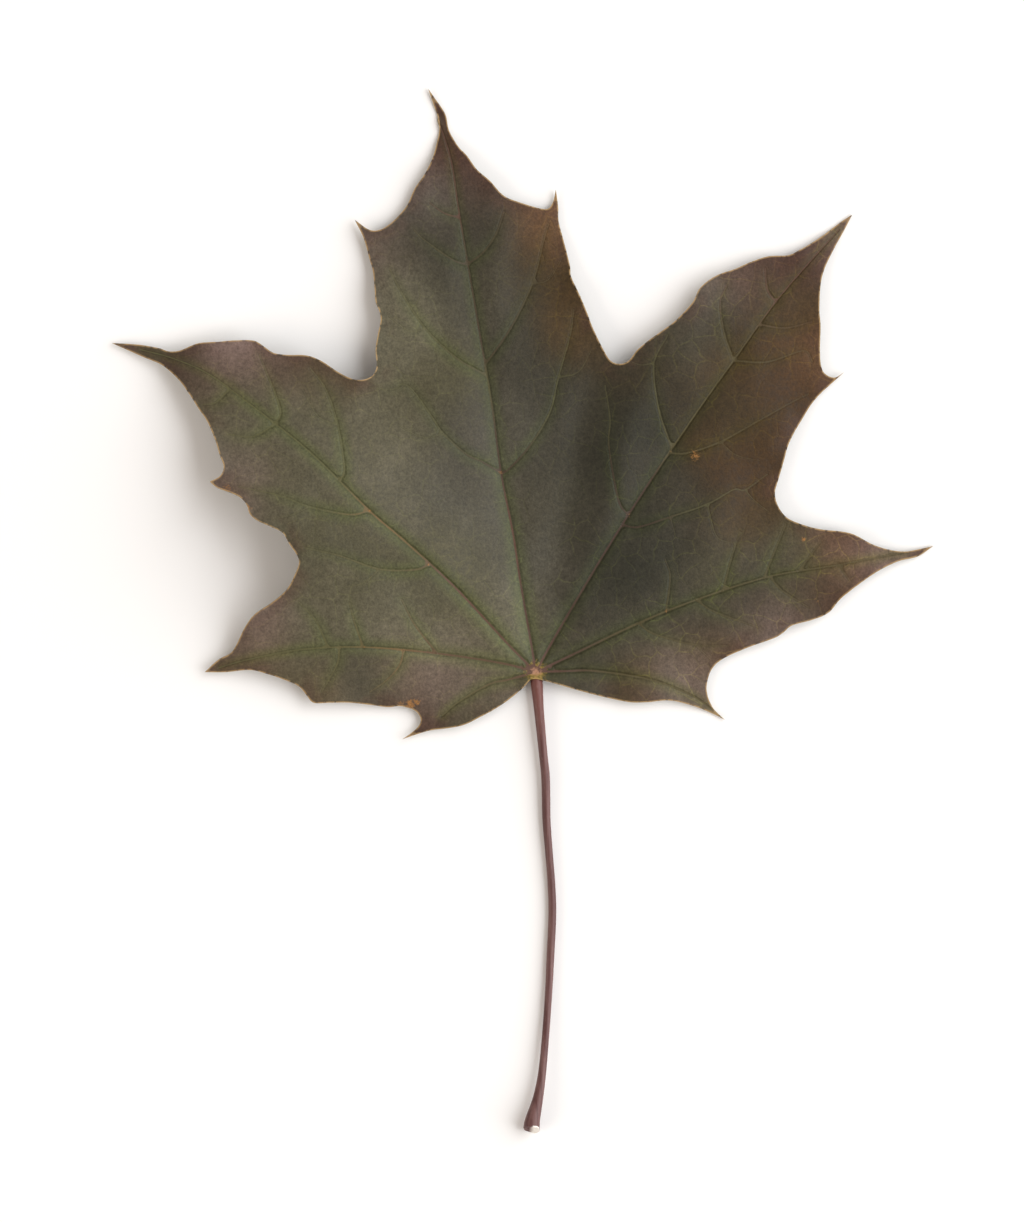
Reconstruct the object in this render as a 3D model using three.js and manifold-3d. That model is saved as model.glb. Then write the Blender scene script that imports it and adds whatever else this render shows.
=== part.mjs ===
// A maple leaf as it was picked: one thin five-lobed blade on a long stalk, lying on a table.
// The stalk meets the blade at x = 0, y = 0 of the drawing, and the middle lobe points along +Y.
// Lengths are in millimetres and heights are measured up from the table.
import * as THREE from 'three';
import { mergeVertices } from 'three/addons/utils/BufferGeometryUtils.js';
import Module from 'manifold-3d';

const BLADE_THICKNESS = 0.36;
const SHEET_STEP = 4.4;      // size of the blade's mesh cells
const MARGIN_STEPS = 2;      // straight pieces between two points of the margin
const HOLD_REACH = 11;       // how far a held point shapes the blade around it
const RIB_BASE_RADIUS = 0.75;
const RIB_TIP_RADIUS = 0.2;
const RIB_SIDES = 5;
const RIB_RINGS = 12;
const STALK_SIDES = 10;
const STALK_RINGS = 26;
const LEAF_COLOUR = 0x5b5445;
const LEAF_ROUGHNESS = 0.55;

// The margin, clockwise from the middle lobe's tip. Each row is one smooth edge that runs from one
// sharp point, a lobe's tip or a tooth, to the next.
const MARGIN = [
  [[-19.4, 105], [-16.3, 100.4], [-15.6, 97.4], [-12.4, 92.9], [-8.3, 88.4], [-5.9, 85.8], [1.6, 83.3],
    [3.6, 86.8]],
  [[3.6, 86.8], [4.1, 81.5], [6, 73.5], [9.2, 64.8], [11.9, 58.5], [14.4, 55.4], [17.1, 56.5], [20.2, 59.8],
    [25.2, 63.5], [28.1, 66.6], [31, 70.7], [35.8, 72.9], [41.9, 75.1], [47.5, 76.5], [52, 79.2],
    [56.9, 82.3]],
  [[56.9, 82.3], [53.6, 76.1], [51.2, 69.5], [51.1, 58], [51.6, 54.2], [55.5, 54]],
  [[55.5, 54], [49.5, 48.1], [46.6, 43], [43.7, 34.6], [43.4, 30.4], [47.7, 26.6], [56.5, 25], [63.7, 22],
    [71.5, 22.7]],
  [[71.5, 22.7], [65.3, 20], [58.9, 16.4], [52.7, 10.8], [46.1, 8.5], [34, 2.5], [31.2, -0.4], [30.8, -3.8],
    [34, -8.6]],
  [[34, -8.6], [28.4, -6.1], [24.1, -5], [16.9, -5.4], [8.1, -3.4], [0, -1.2]],
  [[0, -1.2], [-4.3, -4.5], [-10.1, -8.1], [-16, -10.1], [-24.1, -12.1]],
  [[-24.1, -12.1], [-20.6, -8.2], [-22.7, -5.9], [-29.7, -5.6], [-40.1, -5.2], [-45.4, -1.3], [-51.5, 0.7],
    [-59.6, 0.2]],
  [[-59.6, 0.2], [-53.6, 5.6], [-50.6, 10.6], [-44.8, 14.9], [-42.8, 19.8], [-45.7, 25.2], [-51.5, 28.4],
    [-54.7, 32.2], [-58.5, 34.2]],
  [[-58.5, 34.2], [-56.3, 36.9], [-59.2, 45], [-64.1, 52.4], [-68.4, 56], [-76.3, 59.2]],
  [[-76.3, 59.2], [-66.1, 57.8], [-60.3, 59.4], [-50.9, 59.9], [-46, 57.3], [-38.5, 56], [-33.3, 52.9],
    [-29.5, 53.3], [-28.8, 58], [-28, 64], [-29.3, 72], [-32.4, 81.2]],
  [[-32.4, 81.2], [-29.2, 79.4], [-25.6, 81.2], [-21.8, 87.3], [-18, 95], [-17.6, 99.7], [-19.4, 105]],
];

// How high the middle of the blade's thickness stands over the table at the places that give the
// dried leaf its shape. The left side is lifted, and the tips of all the lobes touch the table.
const HELD = [
  // midrib, from the joint to the middle tip
  [0, 0, 2.4], [-3, 17, 3.6], [-6, 36, 4.6], [-10, 60, 3.6], [-14, 84, 2.2], [-19.4, 105, 0.3],
  // the middle lobe's right tooth and edge, its left tooth and edge
  [3.6, 86.8, 0.8], [7, 70, 1.4], [-32.6, 81.4, 0.6], [-29, 66, 3.4], [-29, 55, 4.8],
  // left lobe
  [-36, 55, 5.2], [-48, 50, 7.6], [-54, 57, 3.4], [-64, 53, 1.8], [-76.3, 59.2, 0.3], [-57, 40, 8],
  [-58.5, 34.2, 8.2],
  // left bay and the raised field between it and the midrib
  [-50, 28, 11], [-43, 21, 14.2], [-48, 12, 9.4], [-22, 24, 7], [-20, 42, 5.6], [-34, 36, 8.6],
  [-34, 18, 10.2],
  // lower left lobe
  [-38, 5, 6.6], [-59.6, 0.2, 0.4], [-54, 5, 1.8], [-40, -5.5, 0.8], [-50, 0, 0.6], [-24, -12, 0.5],
  [-12, -6, 1.8], [-26, -5, 2],
  // upper right bay and the fold that runs up to it
  [14.4, 55.4, 3.4], [5, 26, 2.8], [2, 44, 3], [12, 34, 4.6],
  // upper right lobe
  [20, 59, 4], [28, 66, 3.4], [22, 36, 4.4], [34, 54, 3.6], [40, 74, 1.6], [56.9, 82.3, 0.3], [51.2, 62, 1.4],
  [55.5, 54, 0.6],
  // right bay, right lobe and the lobe beside the stalk
  [43.2, 32, 1.6], [28, 24, 3.4], [36, 14, 2.8], [54, 20, 2.2], [71.5, 22.7, 0.3], [46, 8, 1.6], [18, -5, 1.6],
  [34, -8.6, 0.3],
];

// The ribs that fan out from the stalk and stand proud of the blade's underside.
const RIBS = [
  [[0, 0], [-2.8, 17], [-6, 35], [-8.6, 50.8], [-11.7, 70], [-15.3, 92], [-18.4, 102]],
  [[0, 0], [-9.7, 11], [-19.2, 19.2], [-29.8, 29], [-46.8, 45], [-62, 54.8], [-73, 58.4]],
  [[0, 0], [-6, 1.6], [-18, 3.4], [-30.8, 4.5], [-46.4, 3.6], [-57, 0.6]],
  [[0, 0], [-8.5, -2.2], [-13.8, -5.4], [-20, -9.6]],
  [[0, 0], [8, 14], [18.9, 31.3], [29.7, 48.2], [40.3, 62.5], [48.8, 73.3], [55, 80.6]],
  [[0, 0], [12.2, 6.1], [23.6, 11.2], [41.6, 17.1], [54.4, 19.3], [68, 21.9]],
  [[0, 0], [10.8, 0.2], [20.7, -1.4], [28, -4.3], [32.4, -7.4]],
];

// The stalk's centre line, from the blade to the torn foot, and its radius along the way. Its
// middle lies on the table and its thick foot stays a little above it.
const STALK_LINE = [
  [0, 1, 1.15], [0, -1.6, 1.35], [0.6, -7.4, 1.45], [1.4, -14.6, 1.3], [1.9, -26.5, 0.95], [2.9, -42, 0.72],
  [2.5, -52.5, 0.78], [1.8, -64.6, 1.2], [0.5, -76.5, 1.9], [-0.8, -82.4, 2.2],
];
const STALK_RADII = [1.06, 0.88, 0.74, 0.74, 0.68, 0.66, 0.68, 0.66, 0.62, 0.66, 0.86, 1.38];

const UP = new THREE.Vector3(0, 0, 1);

// Height of the middle of the blade over the table: held heights, each weighted by its nearness.
function bladeHeight(x, y) {
  let sum = 0;
  let weights = 0;
  for (const [heldX, heldY, height] of HELD) {
    const distance = Math.hypot(x - heldX, y - heldY) / HOLD_REACH;
    const weight = Math.exp(-distance * distance) + 1e-9;
    sum += weight * height;
    weights += weight;
  }
  return sum / weights;
}

// A three.js geometry as a closed solid that can be joined or cut.
const manifold = await Module();
manifold.setup();

function toSolid(geometry) {
  geometry.deleteAttribute('normal');
  geometry.deleteAttribute('uv');
  const merged = mergeVertices(geometry);
  return new manifold.Manifold(new manifold.Mesh({
    numProp: 3,
    vertProperties: new Float32Array(merged.attributes.position.array),
    triVerts: new Uint32Array(merged.index.array),
  }));
}

function toGeometry(solid) {
  const mesh = solid.getMesh();
  const geometry = new THREE.BufferGeometry();
  geometry.setAttribute('position', new THREE.BufferAttribute(mesh.vertProperties, 3));
  geometry.setIndex(new THREE.BufferAttribute(mesh.triVerts, 1));
  geometry.computeVertexNormals();
  return geometry;
}

// A round rod that follows a line and whose radius runs through the given radii, evenly spaced.
function taperedRod(line, radii, sides, rings) {
  const path = new THREE.CatmullRomCurve3(line, false, 'centripetal');
  const radiusCurve = new THREE.SplineCurve(radii.map((radius, i) => new THREE.Vector2(i, radius)));
  const profile = [new THREE.Vector2(0, 0)];
  for (let ring = 0; ring <= rings; ring += 1) {
    profile.push(new THREE.Vector2(radiusCurve.getPoint(ring / rings).y, ring / rings));
  }
  profile.push(new THREE.Vector2(0, 1));
  const rod = new THREE.LatheGeometry(profile, sides);
  const positions = rod.attributes.position;
  const across = new THREE.Vector3();
  for (let i = 0; i < positions.count; i += 1) {
    const along = Math.min(1, Math.max(0, positions.getY(i)));
    const forward = path.getTangentAt(along);
    across.crossVectors(forward, UP).normalize();
    const raised = new THREE.Vector3().crossVectors(across, forward);
    const place = path.getPointAt(along);
    place.addScaledVector(across, positions.getX(i));
    place.addScaledVector(raised, positions.getZ(i));
    positions.setXYZ(i, place.x, place.y, place.z);
  }
  return toSolid(rod);
}

// The thin curved sheet, trimmed to the leaf's outline.
function makeBlade() {
  const outline = new THREE.Shape();
  outline.moveTo(...MARGIN[0][0]);
  for (const edge of MARGIN) {
    outline.splineThru(edge.slice(1).map(([x, y]) => new THREE.Vector2(x, y)));
  }
  const trimDepth = 60;
  const trim = new THREE.ExtrudeGeometry(outline, {
    depth: trimDepth, bevelEnabled: false, curveSegments: MARGIN_STEPS,
  });
  trim.translate(0, 0, -trimDepth / 2);

  const box = new THREE.Box2().setFromPoints(MARGIN.flat().map(([x, y]) => new THREE.Vector2(x, y)));
  box.expandByScalar(SHEET_STEP);
  const size = box.getSize(new THREE.Vector2());
  const middle = box.getCenter(new THREE.Vector2());
  const sheet = new THREE.BoxGeometry(
    size.x, size.y, BLADE_THICKNESS, Math.round(size.x / SHEET_STEP), Math.round(size.y / SHEET_STEP), 1,
  );
  sheet.translate(middle.x, middle.y, 0);
  const positions = sheet.attributes.position;
  for (let i = 0; i < positions.count; i += 1) {
    positions.setZ(i, positions.getZ(i) + bladeHeight(positions.getX(i), positions.getY(i)));
  }
  return toSolid(sheet).intersect(toSolid(trim));
}

// A rib is sunk into the blade, so that only its lower part shows, below the underside.
function makeRib(points) {
  const plan = new THREE.SplineCurve(points.map(([x, y]) => new THREE.Vector2(x, y)));
  const line = plan.getSpacedPoints(RIB_RINGS).map(({ x, y }, i) => {
    const radius = THREE.MathUtils.lerp(RIB_BASE_RADIUS, RIB_TIP_RADIUS, i / RIB_RINGS);
    return new THREE.Vector3(x, y, bladeHeight(x, y) - radius);
  });
  return taperedRod(line, [RIB_BASE_RADIUS, RIB_TIP_RADIUS], RIB_SIDES, RIB_RINGS);
}

function makeStalk() {
  const line = STALK_LINE.map((point) => new THREE.Vector3(...point));
  return taperedRod(line, STALK_RADII, STALK_SIDES, STALK_RINGS);
}

// The whole leaf grew as one piece, so its blade, ribs and stalk are joined into one solid.
function makeLeaf() {
  const solid = RIBS.reduce((leaf, points) => leaf.add(makeRib(points)), makeBlade()).add(makeStalk());
  const material = new THREE.MeshStandardMaterial({
    color: LEAF_COLOUR, roughness: LEAF_ROUGHNESS, metalness: 0,
  });
  const leaf = new THREE.Mesh(toGeometry(solid), material);
  leaf.name = 'maple_leaf';
  return leaf;
}

// The finished leaf rests on z = 0, with the middle of its box over the origin.
const leaf = makeLeaf();
const box = new THREE.Box3().setFromObject(leaf);
const centre = box.getCenter(new THREE.Vector3());
leaf.position.set(-centre.x, -centre.y, -box.min.z);

const group = new THREE.Group();
group.add(leaf);
export default group;
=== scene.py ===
import math

import bpy
import numpy as np
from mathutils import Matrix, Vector, kdtree, noise
from mathutils.geometry import delaunay_2d_cdt


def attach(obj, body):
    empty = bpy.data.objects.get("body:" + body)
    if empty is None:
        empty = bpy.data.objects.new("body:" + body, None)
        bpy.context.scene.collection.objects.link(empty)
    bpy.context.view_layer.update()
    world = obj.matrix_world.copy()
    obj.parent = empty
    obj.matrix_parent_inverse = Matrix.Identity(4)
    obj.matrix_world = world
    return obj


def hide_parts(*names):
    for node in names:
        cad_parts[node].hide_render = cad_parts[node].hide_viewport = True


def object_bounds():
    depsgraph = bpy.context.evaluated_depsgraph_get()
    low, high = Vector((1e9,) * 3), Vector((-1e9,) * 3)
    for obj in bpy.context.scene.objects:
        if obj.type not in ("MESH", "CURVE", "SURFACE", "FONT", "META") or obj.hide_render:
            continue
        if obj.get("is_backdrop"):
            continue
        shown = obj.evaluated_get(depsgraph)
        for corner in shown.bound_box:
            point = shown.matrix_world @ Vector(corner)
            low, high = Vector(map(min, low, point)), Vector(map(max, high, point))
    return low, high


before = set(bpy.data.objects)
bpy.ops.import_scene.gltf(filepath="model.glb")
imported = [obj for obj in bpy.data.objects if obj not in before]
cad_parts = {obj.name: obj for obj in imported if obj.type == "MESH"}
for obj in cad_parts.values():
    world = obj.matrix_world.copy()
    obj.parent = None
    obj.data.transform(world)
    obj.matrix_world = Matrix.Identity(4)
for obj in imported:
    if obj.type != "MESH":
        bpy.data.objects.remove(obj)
cad_low, cad_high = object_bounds()
bpy.ops.object.select_all(action="DESELECT")

# ---------------------------------------------------------------------------------------------
# The margin of the blade. A maple leaf is one thin flat growth with five main lobes. Each lobe ends
# in a drawn-out tip with a tooth or two beside it, and from point to point the edge is one wavy line.
MM = 0.001

# All plan places are in millimetres from the joint, where the stalk meets the blade.
LEFT_TIP = (-76.3, 59.2)
MIDDLE_TIP = (-19.4, 105.0)
MARGIN = {
    "middle lobe, right side": [
        MIDDLE_TIP, (-18.0, 103.0), (-16.3, 100.4), (-15.6, 97.4), (-13.9, 94.5), (-12.4, 92.9),
        (-10.6, 90.4), (-8.3, 88.4), (-5.9, 85.8), (-3.2, 84.6), (1.6, 83.3), (3.0, 84.4), (3.6, 86.8),
    ],
    "upper right bay": [
        (3.6, 86.8), (4.0, 83.7), (4.1, 81.0), (5.0, 77.6), (6.1, 73.2), (6.3, 71.2), (7.9, 67.7),
        (9.2, 64.6), (10.3, 61.7), (12.0, 58.2), (13.4, 56.0), (15.1, 55.4), (16.7, 56.0), (18.2, 57.9),
        (20.2, 59.6), (22.7, 61.4), (25.2, 63.3), (28.1, 66.4), (29.3, 68.8), (31.0, 70.4),
        (33.1, 71.6), (35.8, 72.5), (38.7, 73.8), (41.9, 74.8), (45.4, 75.0), (47.5, 76.0),
        (49.3, 77.0), (52.0, 78.8), (54.9, 81.0), (56.9, 82.3),
    ],
    "upper right lobe, right side": [
        (56.9, 82.3), (55.3, 79.2), (53.6, 76.1), (51.9, 72.5), (51.2, 69.5), (51.0, 65.3),
        (51.2, 62.1), (51.1, 58.0), (51.3, 55.1), (52.1, 53.6), (53.8, 53.0), (55.5, 54.0),
    ],
    "right bay": [
        (55.5, 54.0), (53.6, 52.3), (51.1, 50.0), (49.5, 48.1), (47.9, 45.5), (46.4, 43.0),
        (45.3, 40.6), (44.6, 38.0), (43.6, 34.6), (43.0, 32.4), (43.4, 30.2), (45.0, 27.9),
        (47.7, 26.6), (51.1, 25.7), (56.5, 25.0), (60.5, 23.0), (63.7, 22.0), (66.4, 21.7),
        (69.3, 22.2), (71.5, 22.7),
    ],
    "right lobe, under side": [
        (71.5, 22.7), (68.8, 20.9), (65.3, 20.0), (62.1, 18.5), (58.9, 16.4), (54.9, 13.3),
        (52.7, 10.8), (50.0, 9.5), (46.1, 8.4), (44.6, 7.2), (42.8, 6.1), (38.3, 4.5), (34.0, 2.6),
        (31.9, 0.9), (30.9, -1.4), (30.8, -3.8), (31.9, -6.5), (34.0, -8.6),
    ],
    "right of the stalk": [
        (34.0, -8.6), (31.9, -7.5), (28.4, -6.1), (24.1, -5.1), (20.2, -5.4), (16.9, -5.4),
        (12.4, -4.5), (8.1, -3.4), (4.3, -2.3), (1.4, -1.5), (0.0, -1.2),
    ],
    "left of the stalk": [
        (0.0, -1.2), (-1.0, -1.4), (-2.2, -2.7), (-4.3, -4.5), (-7.0, -6.4), (-10.1, -8.1),
        (-13.0, -9.5), (-16.0, -10.1), (-19.1, -10.5), (-22.1, -11.4), (-24.1, -12.1),
    ],
    "lower left tooth": [
        (-24.1, -12.1), (-22.5, -11.0), (-21.2, -9.8), (-20.7, -8.6), (-21.3, -7.3), (-22.3, -6.6),
    ],
    "lower left lobe, under side": [
        (-22.3, -6.6), (-24.4, -6.1), (-26.6, -6.3), (-29.7, -5.9), (-33.5, -5.5), (-37.1, -5.5),
        (-40.0, -5.5), (-41.2, -4.2), (-42.7, -2.5), (-45.4, -1.3), (-48.4, -0.3), (-51.5, 0.4),
        (-55.8, 0.0), (-59.6, 0.0),
    ],
    "left bay": [
        (-59.6, 0.0), (-57.1, 2.2), (-54.9, 3.4), (-53.6, 5.4), (-52.4, 7.9), (-50.6, 10.3),
        (-47.5, 12.4), (-44.8, 14.7), (-43.2, 17.6), (-42.5, 20.2), (-44.2, 23.0), (-45.4, 25.0),
        (-47.5, 26.1), (-49.9, 27.2), (-51.3, 28.4), (-51.8, 29.9), (-52.9, 31.3), (-54.7, 32.2),
        (-57.1, 33.1), (-58.5, 34.2),
    ],
    "left lobe, under side": [
        (-58.5, 34.2), (-56.7, 35.2), (-56.0, 36.9), (-56.8, 39.2), (-57.6, 41.8), (-59.0, 45.0),
        (-60.5, 47.2), (-62.1, 49.7), (-63.9, 52.2), (-65.7, 54.0), (-67.5, 55.4), (-70.2, 56.5),
        (-73.6, 58.0), LEFT_TIP,
    ],
    "left lobe, upper side": [
        LEFT_TIP, (-71.6, 58.9), (-67.9, 58.3), (-66.1, 57.7), (-64.1, 57.8), (-61.9, 58.7),
        (-60.3, 59.2), (-56.9, 59.4), (-54.4, 59.6), (-50.9, 59.6), (-49.1, 58.7), (-47.2, 57.4),
        (-44.8, 57.0), (-41.2, 56.9), (-38.5, 55.9), (-35.8, 54.1), (-33.3, 52.8), (-31.3, 52.5),
        (-29.5, 53.2), (-28.6, 54.9), (-28.8, 58.0), (-28.4, 60.7), (-27.9, 63.2), (-28.1, 64.8),
        (-28.8, 66.6), (-29.0, 68.8), (-29.3, 72.0), (-29.9, 74.2), (-31.0, 78.1), (-32.6, 81.4),
    ],
    "middle lobe, left side": [
        (-32.6, 81.4), (-30.6, 79.9), (-29.2, 79.4), (-27.5, 79.8), (-25.6, 81.2), (-24.1, 82.8),
        (-23.0, 84.3), (-21.8, 87.0), (-20.0, 89.6), (-18.6, 92.5), (-17.9, 95.0), (-17.4, 97.4),
        (-17.6, 99.7), (-18.5, 102.4), MIDDLE_TIP,
    ],
}

# Where the joint lies in the frame: the leaf's box starts at the left tip and ends at the middle one.
JOINT = np.array([cad_low.x / MM - LEFT_TIP[0], cad_high.y / MM - MIDDLE_TIP[1]])


def smooth_line(points, spacing):
    """Evenly spaced points on the smooth curve that runs through the given ones."""
    p = np.array(points, float)
    p = np.vstack([2 * p[0] - p[1], p, 2 * p[-1] - p[-2]])
    steps = 24
    t = np.linspace(0, 1, steps, endpoint=False)[:, None]
    spans = []
    for a, b, c, d in zip(p[:-3], p[1:-2], p[2:-1], p[3:]):
        squared = 2 * a - 5 * b + 4 * c - d
        cubed = 3 * b - a - 3 * c + d
        spans.append(0.5 * (2 * b + (c - a) * t + squared * t**2 + cubed * t**3))
    dense = np.vstack(spans + [p[-2:-1]])
    run = np.concatenate([[0], np.cumsum(np.linalg.norm(np.diff(dense, axis=0), axis=1))])
    even = np.linspace(0, run[-1], max(2, round(run[-1] / spacing) + 1))
    return np.column_stack([np.interp(even, run, dense[:, axis]) for axis in range(p.shape[1])])


EDGE_STEP = 0.45
outline = np.vstack([smooth_line(edge, EDGE_STEP)[:-1] for edge in MARGIN.values()])

# ---------------------------------------------------------------------------------------------
# The veins. Seven ribs of tougher tissue fan out from the stalk, and each sends side veins towards
# the margin. They are sunk a little into the upper face and stand proud of the underside.
RIBS = {
    "middle": [
        (0, 0), (-1.1, 6.5), (-2.9, 16.9), (-4.1, 24.8), (-6.3, 36.0), (-7.9, 47.9), (-10.1, 60.8),
        (-12.2, 73.1), (-13.9, 83.2), (-15.3, 92.2), (-17.6, 99.5),
    ],
    "left": [
        (0, 0), (-4.7, 4.7), (-14.4, 15.1), (-23.4, 23.4), (-29.9, 29.0), (-40.7, 39.6), (-51.5, 48.2),
        (-58.7, 53.5), (-65.2, 56.4), (-71.0, 58.0),
    ],
    "lower left": [
        (0, 0), (-6.1, 1.6), (-18.0, 3.4), (-30.8, 4.5), (-41.9, 4.1), (-52.0, 2.2), (-57.0, 0.8),
    ],
    "left of the stalk": [(0, 0), (-5.2, -1.4), (-8.5, -2.2), (-14.0, -5.4), (-16.9, -7.9)],
    "upper right": [
        (0, 0), (2.5, 4.7), (7.9, 14.0), (13.3, 23.0), (20.7, 34.6), (29.7, 47.9), (35.5, 56.0),
        (42.8, 66.2), (48.8, 73.3), (54.5, 79.6),
    ],
    "right": [(0, 0), (6.7, 3.2), (18.4, 8.8), (28.8, 13.0), (41.6, 17.1), (54.4, 19.3), (66.5, 21.6)],
    "right of the stalk": [(0, 0), (5.6, 0.2), (10.8, 0.2), (20.7, -1.4), (28.1, -4.3), (31.8, -6.8)],
}
SIDE_VEINS = [
    # middle lobe
    [(-6.3, 35.8), (-9.7, 37.8), (-12.6, 39.2), (-16.6, 42.8), (-19.1, 46.4), (-22.3, 50.8), (-24.1, 51.8)],
    [(-9.2, 53.5), (-14.4, 56.5), (-19.8, 61.6), (-24.1, 68.0), (-26.3, 72.4)],
    [(-12.3, 73.3), (-15.1, 74.2), (-20.2, 77.8), (-22.0, 79.6)],
    [(-13.7, 81.7), (-16.6, 82.6), (-19.1, 84.4)],
    [(-6.3, 35.8), (-5.0, 36.4), (-1.1, 40.7), (2.5, 46.8), (4.0, 52.9), (6.1, 60.5), (6.8, 65.2)],
    [(-9.2, 55.2), (-4.7, 61.6), (-0.7, 69.8), (1.4, 77.8), (2.2, 80.6)],
    [(-12.2, 73.4), (-9.4, 75.6), (-7.2, 78.8), (-5.8, 82.8)],
    # left lobe
    [(-19.3, 19.3), (-21.8, 18.4), (-28.1, 18.5), (-35.3, 20.9), (-41.5, 22.3)],
    [(-29.9, 29.0), (-33.5, 28.3), (-40.7, 29.7), (-46.1, 31.7), (-53.3, 33.3)],
    [(-35.3, 34.5), (-34.4, 36.4), (-35.6, 44.3), (-37.8, 50.8), (-40.6, 54.6)],
    [(-46.8, 44.6), (-45.9, 47.0), (-48.2, 53.3), (-49.7, 57.0)],
    [(-46.8, 44.6), (-50.8, 42.3), (-55.1, 42.7)],
    [(-55.1, 50.8), (-57.6, 48.4), (-59.8, 48.1)],
    # lower left lobe
    [(-23.8, 4.0), (-24.5, 1.3), (-26.8, -1.4), (-29.9, -3.6)],
    [(-35.3, 4.6), (-35.8, 1.3), (-38.5, -3.4)],
    [(-37.4, 4.5), (-39.4, 9.0), (-42.6, 12.6)],
    [(-31.0, 4.5), (-32.6, 9.0), (-33.5, 12.5)],
    [(-17.8, 3.4), (-21.7, 8.4), (-24.1, 13.0)],
    # upper right lobe
    [(16.6, 28.2), (14.8, 31.0), (13.1, 40.7), (13.3, 45.4), (12.4, 51.5)],
    [(24.4, 40.2), (22.0, 47.5), (21.2, 55.4), (23.6, 60.5)],
    [(35.5, 56.0), (33.8, 61.0), (33.1, 66.4), (34.2, 69.6)],
    [(43.1, 66.6), (41.6, 68.8), (41.2, 72.6)],
    [(15.5, 26.5), (18.4, 26.1), (24.1, 27.9), (30.8, 30.2), (35.5, 32.8), (37.6, 32.8), (41.6, 35.6)],
    [(24.0, 39.4), (27.2, 39.4), (33.1, 41.4), (40.0, 45.2), (46.1, 48.6), (49.0, 50.0)],
    [(35.5, 56.0), (41.6, 55.8), (48.1, 57.8), (49.7, 55.8)],
    [(40.2, 62.5), (44.8, 61.9), (49.6, 63.0)],
    # right lobe
    [(18.4, 8.8), (21.4, 6.8), (28.6, 4.9), (34.5, 4.7)],
    [(28.8, 13.0), (32.2, 10.8), (39.9, 8.0)],
    [(42.0, 17.2), (44.3, 14.6), (49.0, 11.6)],
    [(54.4, 19.3), (56.4, 16.4)],
    [(23.4, 11.0), (24.1, 17.1), (23.2, 20.3)],
    [(33.6, 14.6), (34.9, 19.8), (36.6, 25.2)],
    [(41.0, 17.0), (43.0, 22.0), (44.9, 26.6)],
    [(47.4, 18.3), (51.2, 23.6)],
]
SMALL_VEINS = [
    [(-24.1, 51.8), (-25.9, 50.8), (-29.9, 51.1)],
    [(-16.6, 42.8), (-20.5, 42.2), (-24.8, 44.4)],
    [(-19.8, 61.6), (-23.0, 61.4), (-26.5, 64.0)],
    [(4.0, 52.9), (7.6, 54.0), (9.8, 57.6)],
    [(-0.7, 69.8), (2.2, 70.6), (4.4, 74.0)],
    [(21.2, 55.6), (18.9, 55.2), (16.8, 55.9)],
    [(37.6, 32.8), (39.1, 31.0), (41.8, 28.8)],
    [(24.1, 27.9), (24.8, 25.2)],
    [(30.8, 30.2), (31.9, 25.6), (33.1, 23.8), (35.5, 23.4), (37.3, 25.0)],
    [(-28.1, 18.5), (-31.0, 16.0), (-34.6, 15.2)],
    [(-40.7, 29.7), (-43.9, 28.2), (-46.8, 27.6)],
    [(-35.6, 44.3), (-39.2, 46.0), (-41.8, 50.6)],
    [(33.1, 41.4), (36.0, 39.0), (40.2, 38.0)],
    [(28.6, 4.9), (31.4, 2.2)],
]

# For each kind of vein, in millimetres: half the width of its line at its start and its end, how
# strongly the line shows there (0 to 1), the depth and reach of the valley that it lies in, and how
# far it stands out of the underside.
RIB = {"width": (0.2, 0.1), "strength": (1.0, 0.7), "depth": 0.55, "reach": 0.9, "ridge": 0.7}
SIDE = {"width": (0.16, 0.12), "strength": (0.65, 0.3), "depth": 0.2, "reach": 0.9, "ridge": 0.3}
SMALL = {"width": (0.12, 0.1), "strength": (0.35, 0.15), "depth": 0.06, "reach": 0.7, "ridge": 0.14}
VEIN_KINDS = [(RIB, list(RIBS.values())), (SIDE, SIDE_VEINS), (SMALL, SMALL_VEINS)]
VEIN_STEP = 0.5
SEARCH_STEP = 0.12


def search_tree(points):
    """A tree that finds the nearest of the given plan points."""
    tree = kdtree.KDTree(len(points))
    for i, (x, y) in enumerate(points):
        tree.insert((x, y, 0), i)
    tree.balance()
    return tree


def nearest(tree, points):
    """The distance from each plan point to the tree's nearest point, and that point's number."""
    found = [tree.find((x, y, 0)) for x, y in points]
    return np.array([f[2] for f in found]), np.array([f[1] for f in found])


# ---------------------------------------------------------------------------------------------
# The flat plan of the blade. The leaf's tissue fills the whole outline as one sheet, without a seam.
# It is drawn as a fine triangle net, with a row of points down every vein and along the margin so
# that both come out crisp, and an even honeycomb of points between them.
NET_STEP = 0.66
MARGIN_ROWS = (0.2, 0.55)
KEEP_OFF_VEIN = 0.36
KEEP_OFF_MARGIN = 0.16
ONLY_INSIDE = 1
MERGE_GAP = 1e-4

vein_net = np.vstack([smooth_line(line, VEIN_STEP) for kind, lines in VEIN_KINDS for line in lines])
margin_tree = search_tree(smooth_line(np.vstack([outline, outline[:1]]), SEARCH_STEP))

ahead = np.roll(outline, -1, axis=0) - np.roll(outline, 1, axis=0)
inward = np.column_stack([ahead[:, 1], -ahead[:, 0]]) / np.linalg.norm(ahead, axis=1)[:, None]
rows = np.vstack([outline + inward * depth for depth in MARGIN_ROWS])
low, high = outline.min(0), outline.max(0)
honeycomb = []
for row, y in enumerate(np.arange(low[1], high[1], NET_STEP * math.sqrt(3) / 2)):
    xs = np.arange(low[0] + (row % 2) * NET_STEP / 2, high[0], NET_STEP)
    honeycomb.append(np.column_stack([xs, np.full(len(xs), y)]))
honeycomb = np.vstack(honeycomb)


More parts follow.
